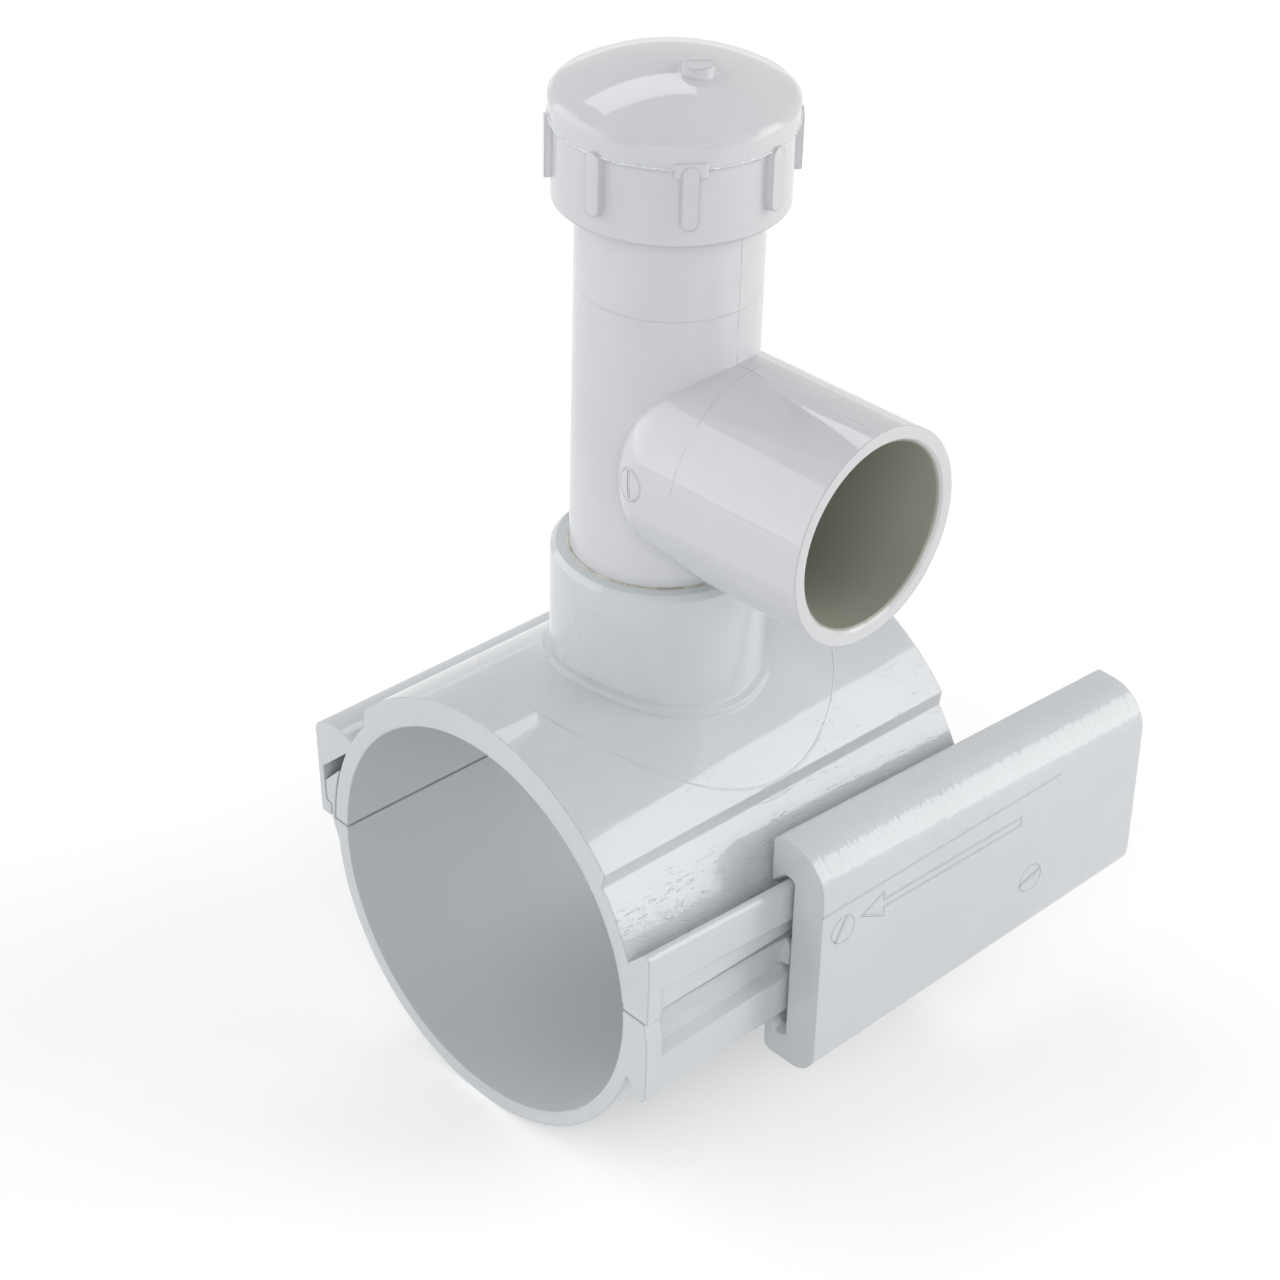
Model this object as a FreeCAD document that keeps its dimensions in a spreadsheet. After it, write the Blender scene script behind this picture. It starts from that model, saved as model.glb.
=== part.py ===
import FreeCAD
import Part
import math
import os
import re
import Sketcher

# Tapping saddle for a 2 in plastic pipe, in millimetres.
# X runs along the pipe, Z up the tower, and the side outlet faces minus Y.
# The origin is on the pipe's axis, straight below the tower's axis.
# The wedge stands where it has been driven on part of the way.

# Driving sizes
SIZES = [
    # Pipe and shells
    ("pipe_radius", 30.15, "2 in pipe, 60.3 mm outside"),
    ("pipe_gap", 0.05, "play of the pipe in the saddle"),
    ("saddle_length", 67.0, "length of both halves along the pipe"),
    ("thin_wall", 2.7, "upper shell's wall beside the flanges"),
    ("thick_wall", 4.5, "upper shell's wall over the top"),
    ("lower_wall", 2.3, "lower shell's wall"),
    ("thick_edge", 42.0, "degrees above level where the thick wall ends"),
    ("thick_slope", 4.0, "degrees that its edge takes to fall"),
    ("fuse_depth", 0.8, "how far an added form reaches into its wall"),
    # Parting of the halves
    ("halves_gap", 0.4, "gap between the halves at rest"),
    ("part_near", 3.6, "height of the parting at the wedge side"),
    ("part_far", 0.0, "height of the parting at the hook side"),
    # Flanges and rails of the wedge side
    ("face_stand", 2.2, "how far the rail faces stand out of the upper shell"),
    ("crest_height", 14.4, "top of the upper rail at the near end"),
    ("keel_depth", 11.7, "underside of the lower rail at the near end"),
    ("valley_depth", 4.2, "valley behind the upper rail, from the rail's face"),
    ("notch_depth", 3.8, "valley behind the lower rail, from the rail's face"),
    ("lip_slope", 45.0, "degrees of the upper rail's inner flank"),
    ("rail_round", 1.0, "round along the upper rail's outer edge"),
    ("keel_round", 1.2, "round along the lower rail's outer edge"),
    ("upper_taper", 2.0, "degrees by which the upper rail falls"),
    ("lower_taper", 2.8, "degrees by which the lower rail rises"),
    ("upper_band", 6.6, "height of the upper rail's face"),
    ("lower_band", 7.1, "height of the lower rail's face"),
    ("recess_near", 0.5, "recess under the upper rail at the near end"),
    ("recess_far", 2.2, "recess under the upper rail at the far end"),
    ("recess_slope", 0.7, "slope of the recess's upper edge"),
    ("band_depth", 0.8, "top of the hollow band over the lower rail, from the rail's face"),
    ("band_hollow", 2.0, "bottom of the hollow band, from the rail's face"),
    ("band_round", 9.0, "radius of the hollow band"),
    ("band_lift", 0.9, "slope between the hollow band and its rail"),
    ("tab_thick", 2.7, "end tab, along the pipe"),
    ("tab_drop", 0.9, "how far the end tab reaches down"),
    ("tab_side_gap", 0.3, "gap behind the end tab"),
    ("block_slope", 4.0, "slanted height of the end block under the tab"),
    ("fin_place", -5.5, "fin over the lower rail, along the pipe"),
    ("fin_thick", 0.8, "thickness of the fin"),
    ("fin_depth", 0.3, "outer edge of the fin, from the rail's face"),
    ("fin_drop", 5.0, "height of the fin"),
    # Hook joint of the far side
    ("hook_valley", 15.9, "height of the valley beside the hook"),
    ("hook_crown", 8.8, "radius of the hook's crown"),
    ("hook_stand", 4.25, "outside of the hook's wall at its shoulder, beyond the shell"),
    ("ridge_inset", 1.15, "outer end of the hook's crown, in from there"),
    ("hook_ridge_height", 15.9, "outer end of the hook's crown, up"),
    ("hook_round", 2.2, "round of the hook's shoulder"),
    ("hook_shoulder", 13.2, "height of that shoulder"),
    ("hook_draw", 1.0, "how far the wall draws in from its shoulder to its foot"),
    ("hook_wall", 0.95, "thickness of the hook's wall"),
    ("hook_lean", 0.5, "how far the wall's inside leans out upward"),
    ("hook_curl", 1.1, "how far the foot curls inward"),
    ("curl_height", 1.8, "top of the curled foot"),
    ("hook_foot", -0.2, "underside of the curled foot"),
    ("cavity_shoulder", 8.0, "outer corner of the hook's channel, up"),
    ("cavity_top", 13.3, "inner corner of the hook's channel, up"),
    ("tongue_gap", 0.3, "play of the tongue in the channel"),
    ("tongue_top", 9.2, "top of the tongue, inside"),
    ("tongue_shoulder", 5.7, "top of the tongue, outside"),
    ("tongue_root", 3.6, "how far its root reaches below the parting"),
    # Collar and tap hole
    ("collar_radius", 15.5, "outside of the collar"),
    ("seat_rise", 1.3, "riser's seat, above the shell"),
    ("collar_height", 15.1, "collar's rim, above that seat"),
    ("collar_edge", 0.8, "chamfer of the collar's rim"),
    ("ring_width", 1.2, "foot ring, beyond the collar"),
    ("ring_height", 0.9, "foot ring, above the shell"),
    ("tap_radius", 10.2, "tap hole and passage of the riser"),
    # Tower
    ("tower_turn", 3.3, "degrees by which the tower was turned when cemented"),
    ("cement_gap", 0.05, "cement film round the riser"),
    ("riser_radius", 12.9, "outside of the riser"),
    ("riser_rise", 35.8, "where the cap's neck begins, above the outlet's axis"),
    ("neck_radius", 12.1, "core of the neck's thread"),
    ("neck_length", 12.6, "length of the neck"),
    ("outlet_clear", 1.9, "room between the collar and the outlet"),
    ("outlet_reach", 38.4, "end of the side outlet"),
    ("outlet_passage", 9.4, "passage from the outlet into the riser"),
    ("outlet_radius", 15.8, "outside of the side outlet"),
    ("outlet_round", 7.0, "round of the outlet's back"),
    ("outlet_back", 9.5, "where that round begins"),
    ("socket_radius", 13.4, "socket for a 3/4 in pipe"),
    ("socket_depth", 23.0, "depth of the socket"),
    ("socket_lead", 0.6, "lead-in of the socket"),
    # Cap
    ("cap_turn", 9.0, "degrees by which the cap's ribs are turned"),
    ("cap_gap", 0.8, "lower edge of the cap, above the neck's foot"),
    ("skirt_radius", 16.1, "outside of the cap's skirt"),
    ("skirt_height", 10.7, "height of the skirt under the rim"),
    ("rim_radius", 16.6, "outside of the dome's rim"),
    ("rim_height", 4.2, "height of the rim"),
    ("rim_edge", 0.7, "chamfer of the rim's upper edge"),
    ("dome_rise", 4.2, "height of the dome above its rim"),
    ("thread_room", 1.05, "room between neck and cap for the threads"),
    ("rib_count", 8, "ribs round the cap"),
    ("rib_width", 2.4, "width of a rib"),
    ("rib_rise", 1.0, "how far a rib stands out"),
    ("rib_start", 2.8, "lower end of a rib, above the cap's lower edge"),
    ("rib_over", 1.2, "upper end of a rib, above the rim's lower edge"),
    ("seal_gap", 0.1, "play of the flat seal"),
    ("seal_thick", 1.6, "thickness of the flat seal"),
    ("boss_radius", 2.2, "small boss on the dome"),
    ("boss_rise", 0.9, "height of that boss"),
    ("boss_place", 4.2, "its distance from the cap's axis"),
    # Saddle seal
    ("gasket_inner", 12.7, "inside of the saddle seal"),
    ("gasket_width", 3.2, "width of the saddle seal"),
    ("gasket_depth", 1.5, "how deep it lies in the shell"),
    ("gasket_gap", 0.1, "play of the seal in its groove"),
    # Wedge
    ("wedge_length", 68.4, "length of the wedge"),
    ("wedge_short", 26.9, "how far the wedge is from home"),
    ("wedge_gap", 0.3, "play of the wedge over and under the rails at home"),
    ("wedge_side_gap", 0.5, "play of the wedge in front of the rails"),
    ("wedge_web", 6.1, "wall over the rails' faces"),
    ("wedge_roof", 6.6, "wall over the upper rail"),
    ("wedge_floor", 5.0, "wall under the lower rail"),
    ("wedge_round", 6.4, "round of the upper outer edge"),
    ("wedge_low_round", 4.2, "round of the lower outer edge"),
    ("wedge_lip_round", 1.2, "round of the lips' outer edges"),
    ("wedge_lip_depth", 3.5, "inner side of the upper lip, from the rails' faces"),
    ("low_lip_depth", 3.2, "inner side of the lower lip at its near end, from the rails' faces"),
    ("low_lip_recede", 0.6, "how much further out that side is at its far end"),
    ("mouth_flare", 0.9, "widening of the channel's mouth"),
    ("mouth_depth", 1.4, "depth of that widening"),
]

doc = FreeCAD.newDocument("tapping_saddle")
sheet = doc.addObject("Spreadsheet::Sheet", "Sizes")
for row, (alias, size, note) in enumerate(SIZES, start=1):
    sheet.set("A%d" % row, alias)
    sheet.set("B%d" % row, str(size))
    sheet.set("C%d" % row, note)
    sheet.setAlias("B%d" % row, alias)
doc.recompute()
ALIASES = {alias for alias, _, _ in SIZES}

# Sizes that follow from the driving ones
HALF = "(saddle_length / 2)"
BORE = "(pipe_radius + pipe_gap)"
THIN = "(%s + thin_wall)" % BORE
THICK = "(%s + thick_wall)" % BORE
LOWER = "(%s + lower_wall)" % BORE
FOLLOWING = {
    "face_reach": "(%s + face_stand)" % THIN,
    "valley_reach": "(face_reach - valley_depth)",
    "notch_reach": "(face_reach - notch_depth)",
    "band_reach": "(face_reach - band_depth)",
    "band_floor": "(face_reach - band_hollow)",
    "fin_reach": "(face_reach - fin_depth)",
    "wedge_lip_reach": "(face_reach - wedge_lip_depth)",
    "low_lip_reach": "(face_reach - low_lip_depth)",
    "hook_reach": "(%s + hook_stand)" % THIN,
    "hook_foot_reach": "(hook_reach - hook_draw)",
    "hook_ridge_reach": "(hook_reach - ridge_inset)",
    "collar_seat": "(%s + seat_rise)" % THICK,
    "collar_top": "(collar_seat + collar_height)",
    "outlet_height": "(collar_top + outlet_clear + outlet_radius)",
    "neck_foot": "(outlet_height + riser_rise)",
    "neck_top": "(neck_foot + neck_length)",
    "cap_foot": "(neck_foot + cap_gap)",
    "rim_foot": "(cap_foot + skirt_height)",
    "rim_top": "(rim_foot + rim_height)",
    "rib_foot": "(cap_foot + rib_start)",
    "rib_top": "(rim_foot + rib_over)",
}
VALLEY = "sqrt(%s^2 - valley_reach^2)" % THIN
NOTCH = "sqrt(%s^2 - notch_reach^2)" % LOWER
CREST_START = "(valley_reach + (crest_height - %s) / tan(lip_slope))" % VALLEY
KEEL_START = "(face_reach - keel_round)"
KEEL_FLANK = "((keel_depth - %s) / (%s - notch_reach))" % (NOTCH, KEEL_START)
LOW_PART = "(part_near - halves_gap)"
UPPER_FALL = "tan(upper_taper)"
LOWER_RISE = "tan(lower_taper)"
CAP_BORE = "(neck_radius + thread_room)"
WEDGE_INNER = "(face_reach + wedge_side_gap)"
LIP_INNER = "(hook_foot_reach - hook_wall)"


def bound(text):
    """Write out the sizes that follow from others, and put the sheet's name before each driving one."""
    def written_out(word):
        name = word[0]
        if name in FOLLOWING:
            return bound(FOLLOWING[name])
        return "Sizes." + name if name in ALIASES else name
    return re.sub(r"[a-z_]+", written_out, text)


def value(text):
    """Work out an expression of sizes as a number."""
    return float(sheet.evalExpression(bound(text)))


def tie(item, **bonds):
    """Bind properties of an object; a double underscore stands for a dot."""
    for place, text in bonds.items():
        item.setExpression(place.replace("__", "."), bound(text))
    return item


# Sketching

def origin_item(body, role):
    """Find a plane or axis of a body's own origin."""
    return next(item for item in body.Origin.OriginFeatures if item.Role == role)


def arc_between(start, stop, radius, turn):
    """Make an arc of under half a turn; turn is 'left' or 'right' of the way from start to stop."""
    way = stop - start
    side = FreeCAD.Vector(-way.y, way.x, 0) if turn == "left" else FreeCAD.Vector(way.y, -way.x, 0)
    rise = math.sqrt(radius ** 2 - (way.Length / 2) ** 2)
    centre = start + way * 0.5 + side.normalize() * rise
    circle = Part.Circle(centre, FreeCAD.Vector(0, 0, 1), radius)
    first, last = (start, stop) if turn == "left" else (stop, start)
    angles = [math.atan2(point.y - centre.y, point.x - centre.x) for point in (first, last)]
    if angles[1] < angles[0]:
        angles[1] += 2 * math.pi
    return Part.ArcOfCircle(circle, angles[0], angles[1])


def pin_corner(sketch, edge, end, across, up):
    """Fix a corner of an outline by its two distances from the sketch's origin."""
    if across == "0":
        sketch.addConstraint(Sketcher.Constraint("PointOnObject", edge, end, -2))
    else:
        rule = Sketcher.Constraint("DistanceX", -1, 1, edge, end, value(across))
        sketch.setExpression("Constraints[%d]" % sketch.addConstraint(rule), bound(across))
    if up == "0":
        sketch.addConstraint(Sketcher.Constraint("PointOnObject", edge, end, -1))
    else:
        rule = Sketcher.Constraint("DistanceY", -1, 1, edge, end, value(up))
        sketch.setExpression("Constraints[%d]" % sketch.addConstraint(rule), bound(up))


def new_sketch(body, name, role, out="0", up="0"):
    """Make a sketch on one of the body's origin planes, moved out of it and up it."""
    sketch = body.newObject("Sketcher::SketchObject", name)
    sketch.AttachmentSupport = (origin_item(body, role), [""])
    sketch.MapMode = "FlatFace"
    return tie(sketch, AttachmentOffset__Base__z=out, AttachmentOffset__Base__y=up)


def outline(body, name, role, corners, arcs=None, out="0", up="0"):
    """Draw a closed outline. Corners are pairs of expressions; arcs gives the radius and turn
    of the edge that follows a corner, where that edge isn't straight."""
    sketch = new_sketch(body, name, role, out, up)
    arcs = arcs or {}
    points = [FreeCAD.Vector(value(across), value(height), 0) for across, height in corners]
    edges = []
    for number, start in enumerate(points):
        stop = points[(number + 1) % len(points)]
        if number in arcs:
            radius, turn = arcs[number]
            edge = sketch.addGeometry(arc_between(start, stop, value(radius), turn), False)
            rule = Sketcher.Constraint("Radius", edge, value(radius))
            sketch.setExpression("Constraints[%d]" % sketch.addConstraint(rule), bound(radius))
            edges.append((edge, 1, 2) if turn == "left" else (edge, 2, 1))
        else:
            edge = sketch.addGeometry(Part.LineSegment(start, stop), False)
            edges.append((edge, 1, 2))
    for number, (edge, first, last) in enumerate(edges):
        following = edges[(number + 1) % len(edges)]
        sketch.addConstraint(Sketcher.Constraint("Coincident", edge, last, following[0], following[1]))
        pin_corner(sketch, edge, first, *corners[number])
    return sketch


def disc(body, name, role, radius, out="0", up="0"):
    """Draw a circle about the sketch's origin."""
    sketch = new_sketch(body, name, role, out, up)
    circle = Part.Circle(FreeCAD.Vector(0, 0, 0), FreeCAD.Vector(0, 0, 1), value(radius))
    edge = sketch.addGeometry(circle, False)
    sketch.addConstraint(Sketcher.Constraint("Coincident", edge, 3, -1, 1))
    rule = Sketcher.Constraint("Radius", edge, value(radius))
    sketch.setExpression("Constraints[%d]" % sketch.addConstraint(rule), bound(radius))
    return sketch


# Features

def new_body(label):
    body = doc.addObject("PartDesign::Body", label + "_body")
    body.Label = label
    return body


def pad(body, sketch, length, both_ways=False, reverse=False):
    """Pad an outline by a length, to one side or half to each side."""
    feature = body.newObject("PartDesign::Pad", sketch.Name + "_pad")
    feature.Profile = sketch
    feature.Midplane = both_ways
    feature.Reversed = reverse
    return tie(feature, Length=length)


def cut_through(body, sketch, both_ways=True, reverse=False):
    """Cut an outline through everything."""
    feature = body.newObject("PartDesign::Pocket", sketch.Name + "_cut")
    feature.Profile = sketch
    feature.Type = "ThroughAll"
    feature.Midplane = both_ways
    feature.Reversed = reverse
    return feature


def turned(body, sketch, axis, remove=False):
    """Turn an outline about an axis of its sketch, to add or to remove."""
    kind = "PartDesign::Groove" if remove else "PartDesign::Revolution"
    feature = body.newObject(kind, sketch.Name + "_turned")
    feature.Profile = sketch
    feature.ReferenceAxis = (sketch, [axis])
    feature.Angle = 360
    return feature


def loft(body, first, last, remove=False):
    """Join two like outlines by straight faces, to add or to remove."""
    kind = "PartDesign::SubtractiveLoft" if remove else "PartDesign::AdditiveLoft"
    feature = body.newObject(kind, first.Name + "_loft")
    feature.Profile = first
    feature.Sections = [last]
    feature.Ruled = True
    return feature


def cylinder(name, radius, length, along="z", start="0"):
    """A bare cylinder about the tower's axis or the pipe's axis."""
    solid = tie(doc.addObject("Part::Cylinder", name), Radius=radius, Height=length)
    if along == "x":
        solid.Placement.Rotation = FreeCAD.Rotation(FreeCAD.Vector(0, 1, 0), 90)
        return tie(solid, Placement__Base__x=start)
    return tie(solid, Placement__Base__z=start)


def boolean(kind, name, base, tool):
    """Cut or common of two solids."""
    result = doc.addObject("Part::" + kind, name)
    result.Base = base
    result.Tool = tool
    return result


def curved_washer(name, inner, outer, depth_from, depth_to):
    """A ring about the tower's axis that follows the pipe: the common of two upright and two level tubes."""
    ring = boolean(
        "Cut", name + "_ring",
        cylinder(name + "_ring_out", outer, "collar_top"),
        cylinder(name + "_ring_in", inner, "collar_top"),
    )
    level = boolean(
        "Cut", name + "_level",
        cylinder(name + "_level_out", depth_to, "saddle_length", "x", "-" + HALF),
        cylinder(name + "_level_in", depth_from, "saddle_length", "x", "-" + HALF),
    )
    return boolean("Common", name, ring, level)


# Upper half

def rail_drop(text, slope, travelled, sign):
    """The height of a rail's point after a length of taper."""
    return "(%s) %s (%s) * %s" % (text, sign, travelled, slope)


def upper_rail(body, name, place, travelled):
    """Section of the upper flange, from its parting up to the hooked rail, and over its crest."""
    valley, crest, edge = [
        rail_drop(height, UPPER_FALL, travelled, "-")
        for height in (VALLEY, "crest_height", "crest_height - rail_round")
    ]
    corners = [
        ("-valley_reach", "part_near"),
        ("-valley_reach", valley),
        ("-" + CREST_START, crest),
        ("-face_reach + rail_round", crest),
        ("-face_reach", edge),
        ("-face_reach", "part_near"),
    ]
    return outline(body, name, "YZ_Plane", corners, {3: ("rail_round", "left")}, out=place)


def recess_section(body, name, place, travelled, depth):
    """Section of the recess under the upper rail."""
    top = rail_drop("crest_height - upper_band", UPPER_FALL, travelled, "-")
    corners = [
        ("-face_reach - fuse_depth", top),
        ("-face_reach", top),
        ("-face_reach + %s" % depth, "%s - recess_slope * %s" % (top, depth)),
        ("-face_reach + %s" % depth, "part_near - fuse_depth"),
        ("-face_reach - fuse_depth", "part_near - fuse_depth"),
    ]
    return outline(body, name, "YZ_Plane", corners, out=place)


def make_upper():
    body = new_body("upper_shell")
    near_foot = "-sqrt(%s^2 - part_near^2)"
    far_foot = "sqrt(%s^2 - part_far^2)"
    shell = outline(
        body, "upper_wall", "YZ_Plane",
        [
            (near_foot % THIN, "part_near"),
            (near_foot % BORE, "part_near"),
            ("0", BORE),
            (far_foot % BORE, "part_far"),
            (far_foot % THIN, "part_far"),
            ("0", THIN),
        ],
        {1: (BORE, "right"), 2: (BORE, "right"), 4: (THIN, "left"), 5: (THIN, "left")},
    )
    pad(body, shell, "saddle_length", both_ways=True)
    buried = "(%s - fuse_depth)" % THIN
    low_edge = "(thick_edge - thick_slope)"
    crown = outline(
        body, "upper_crown", "YZ_Plane",
        [
            ("-%s * cos(thick_edge)" % THICK, "%s * sin(thick_edge)" % THICK),
            ("-%s * cos%s" % (buried, low_edge), "%s * sin%s" % (buried, low_edge)),
            ("0", buried),
            ("%s * cos%s" % (buried, low_edge), "%s * sin%s" % (buried, low_edge)),
            ("%s * cos(thick_edge)" % THICK, "%s * sin(thick_edge)" % THICK),
            ("0", THICK),
        ],
        {1: (buried, "right"), 2: (buried, "right"), 4: (THICK, "left"), 5: (THICK, "left")},
    )
    pad(body, crown, "saddle_length", both_ways=True)
    loft(
        body,
        upper_rail(body, "upper_rail_near", "-" + HALF, "0"),
        upper_rail(body, "upper_rail_far", HALF, "saddle_length"),
    )
    loft(
        body,
        recess_section(body, "recess_near_end", "-%s + tab_thick" % HALF, "tab_thick", "recess_near"),
        recess_section(body, "recess_far_end", "%s + fuse_depth" % HALF, "saddle_length", "recess_far"),
        remove=True,
    )
    tab = outline(
        body, "end_tab", "YZ_Plane",
        [
            ("-%s" % BORE, "part_near + fuse_depth"),
            ("-face_reach", "part_near + fuse_depth"),
            ("-face_reach", "part_near - tab_drop"),
            ("-%s" % BORE, "part_near - tab_drop"),
        ],
        out="-" + HALF,
    )
    pad(body, tab, "tab_thick")
    pad(body, hook_outline(body), "saddle_length", both_ways=True)
    collar = outline(
        body, "collar", "XZ_Plane",
        [
            ("0", "%s / 2" % BORE),
            ("collar_radius", "%s / 2" % BORE),
            ("collar_radius", "collar_top - collar_edge"),
            ("collar_radius - collar_edge", "collar_top"),
            ("0", "collar_top"),
        ],
    )
    turned(body, collar, "V_Axis")
    socket = outline(
        body, "collar_socket", "XZ_Plane",
        [
            ("0", "0"),
            ("tap_radius", "0"),
            ("tap_radius", "collar_seat"),
            ("riser_radius + cement_gap", "collar_seat"),
            ("riser_radius + cement_gap", "collar_top + fuse_depth"),
            ("0", "collar_top + fuse_depth"),
        ],
    )
    turned(body, socket, "V_Axis", remove=True)
    cut_through(body, disc(body, "pipe_bore", "YZ_Plane", BORE))
    foot_ring = curved_washer(
        "foot_ring", "collar_radius - fuse_depth", "collar_radius + ring_width",
        THIN, "%s + ring_height" % THICK,
    )
    joined = doc.addObject("Part::Fuse", "upper_joined")
    joined.Base = body
    joined.Tool = foot_ring
    groove = curved_washer(
        "seal_groove", "gasket_inner - gasket_gap", "gasket_inner + gasket_width + gasket_gap",
        "%s - fuse_depth" % BORE, "%s + gasket_depth + gasket_gap" % BORE,
    )
    return boolean("Cut", "upper_saddle", joined, groove)


def hook_outline(body):
    """Section of the hook at the far side, with the channel that holds the tongue."""
    inside = "(%s - fuse_depth)" % THIN
    cavity_reach = "sqrt(%s^2 - cavity_top^2)" % THIN
    corners = [
        ("sqrt(%s^2 - hook_valley^2)" % THIN, "hook_valley"),
        ("sqrt(%s^2 - hook_valley^2)" % inside, "hook_valley"),
        ("sqrt(%s^2 - cavity_top^2)" % inside, "cavity_top"),
        (cavity_reach, "cavity_top"),
        ("%s + hook_lean" % LIP_INNER, "cavity_shoulder"),
        (LIP_INNER, "curl_height + tongue_gap"),
        ("%s - hook_curl" % LIP_INNER, "curl_height"),
        ("%s - hook_curl" % LIP_INNER, "hook_foot"),
        ("hook_foot_reach", "hook_foot"),
        ("hook_reach", "hook_shoulder"),
        ("hook_ridge_reach", "hook_ridge_height"),
    ]
    arcs = {9: ("hook_round", "left"), 10: ("hook_crown", "left")}
    return outline(body, "hook", "YZ_Plane", corners, arcs)


# Lower half

def lower_rail(body, name, place, travelled):
    """Section of the lower flange, from its parting down over the hollow band to the hooked rail."""
    notch, keel, edge, band, floor = [
        rail_drop(height, LOWER_RISE, travelled, "+")
        for height in (
            "-" + NOTCH, "-keel_depth", "keel_round - keel_depth",
            "lower_band - keel_depth", "lower_band + band_lift - keel_depth",
        )
    ]
    corners = [
        ("-valley_reach", LOW_PART),
        ("-band_reach", LOW_PART),
        ("-band_floor", floor),
        ("-face_reach", band),
        ("-face_reach", edge),
        ("-" + KEEL_START, keel),
        ("-notch_reach", notch),
        ("-valley_reach", "%s + fuse_depth" % notch),
    ]
    arcs = {1: ("band_round", "right"), 4: ("keel_round", "left")}
    return outline(body, name, "YZ_Plane", corners, arcs, out=place)


def tongue_outline(body):
    """Section of the tongue that stands in the hook's channel."""
    near_wall = "(%s + tongue_gap)" % THIN
    lip_side = "(%s - tongue_gap)" % LIP_INNER
    root = "(part_far - halves_gap - tongue_root)"
    corners = [
        ("sqrt(%s^2 - %s^2) - fuse_depth" % (LOWER, root), root),
        ("sqrt(%s^2 - %s^2)" % (LOWER, root), root),
        ("%s - hook_curl" % lip_side, "part_far - halves_gap"),
        ("%s - hook_curl" % lip_side, "curl_height + tongue_gap"),
        (lip_side, "curl_height + 2 * tongue_gap"),
        ("%s + hook_lean / 2" % lip_side, "tongue_shoulder"),
        ("sqrt(%s^2 - tongue_top^2)" % near_wall, "tongue_top"),
        (near_wall, "0"),
        (near_wall, "part_far - halves_gap"),
        ("%s - fuse_depth" % LOWER, "part_far - halves_gap"),
    ]
    arcs = {6: (near_wall, "right")}
    return outline(body, "tongue", "YZ_Plane", corners, arcs)


def make_lower():
    body = new_body("lower_saddle")
    near_foot = "-sqrt(%s^2 - %s^2)"
    far_part = "(part_far - halves_gap)"
    far_foot = "sqrt(%s^2 - %s^2)"
    shell = outline(
        body, "lower_wall", "YZ_Plane",
        [
            (near_foot % (BORE, LOW_PART), LOW_PART),
            (near_foot % (LOWER, LOW_PART), LOW_PART),
            ("0", "-" + LOWER),
            (far_foot % (LOWER, far_part), far_part),
            (far_foot % (BORE, far_part), far_part),
            ("0", "-" + BORE),
        ],
        {1: (LOWER, "left"), 2: (LOWER, "left"), 4: (BORE, "right"), 5: (BORE, "right")},
    )
    pad(body, shell, "saddle_length", both_ways=True)
    loft(
        body,
        lower_rail(body, "lower_rail_near", "-" + HALF, "0"),
        lower_rail(body, "lower_rail_far", HALF, "saddle_length"),
    )
    end_block = outline(
        body, "end_block", "YZ_Plane",
        [
            ("-valley_reach", LOW_PART),
            ("-valley_reach", "lower_band - keel_depth - fuse_depth"),
            ("-face_reach", "lower_band - keel_depth - fuse_depth"),
            ("-face_reach", "%s - block_slope" % LOW_PART),
            ("-band_reach", LOW_PART),
        ],
        out="-" + HALF,
    )
    pad(body, end_block, "tab_thick + tab_side_gap")
    fin = outline(
        body, "fin", "YZ_Plane",
        [
            ("-valley_reach", LOW_PART),
            ("-band_reach + fuse_depth", LOW_PART),
            ("-fin_reach", "%s - fin_drop / 3" % LOW_PART),
            ("-fin_reach", "%s - fin_drop" % LOW_PART),
            ("-valley_reach", "%s - fin_drop - fuse_depth" % LOW_PART),
        ],
        out="fin_place",
    )
    pad(body, fin, "fin_thick")
    pad(body, tongue_outline(body), "saddle_length", both_ways=True)
    notch = outline(
        body, "tab_notch", "YZ_Plane",
        [
            ("-%s + fuse_depth" % BORE, "part_near"),
            ("-%s + fuse_depth" % BORE, "%s - tab_drop" % LOW_PART),
            ("-face_reach - fuse_depth", "%s - tab_drop" % LOW_PART),
            ("-face_reach - fuse_depth", "part_near"),
        ],
        out="-%s - fuse_depth" % HALF,
    )
    cut = body.newObject("PartDesign::Pocket", "tab_notch_cut")
    cut.Profile = notch
    cut.Reversed = True
    tie(cut, Length="tab_thick + tab_side_gap + fuse_depth")
    cut_through(body, disc(body, "lower_bore", "YZ_Plane", BORE))
    return body


# Wedge

def wedge_outer(body, name, out, upper_shift, lower_shift, recede):
    """Outer section of the wedge, at home, a length along the rails."""
    low_lip = "(low_lip_reach + %s)" % recede
    top = "(crest_height + wedge_gap + wedge_roof - %s)" % upper_shift
    bottom = "(%s - keel_depth - wedge_gap - wedge_floor)" % lower_shift
    outside = "(%s + wedge_web)" % WEDGE_INNER
    corners = [
        ("-" + low_lip, bottom + " + wedge_lip_round"),
        ("-wedge_lip_reach", top + " - wedge_lip_round"),
        ("-wedge_lip_reach - wedge_lip_round", top),
        ("-%s + wedge_round" % outside, top),
        ("-%s" % outside, top + " - wedge_round"),
        ("-%s" % outside, bottom + " + wedge_low_round"),
        ("-%s + wedge_low_round" % outside, bottom),
        ("-%s - wedge_lip_round" % low_lip, bottom),
    ]
    arcs = {
        1: ("wedge_lip_round", "left"),
        3: ("wedge_round", "left"),
        5: ("wedge_low_round", "left"),
        7: ("wedge_lip_round", "left"),
    }
    return outline(body, name, "YZ_Plane", corners, arcs, out=out)


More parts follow.
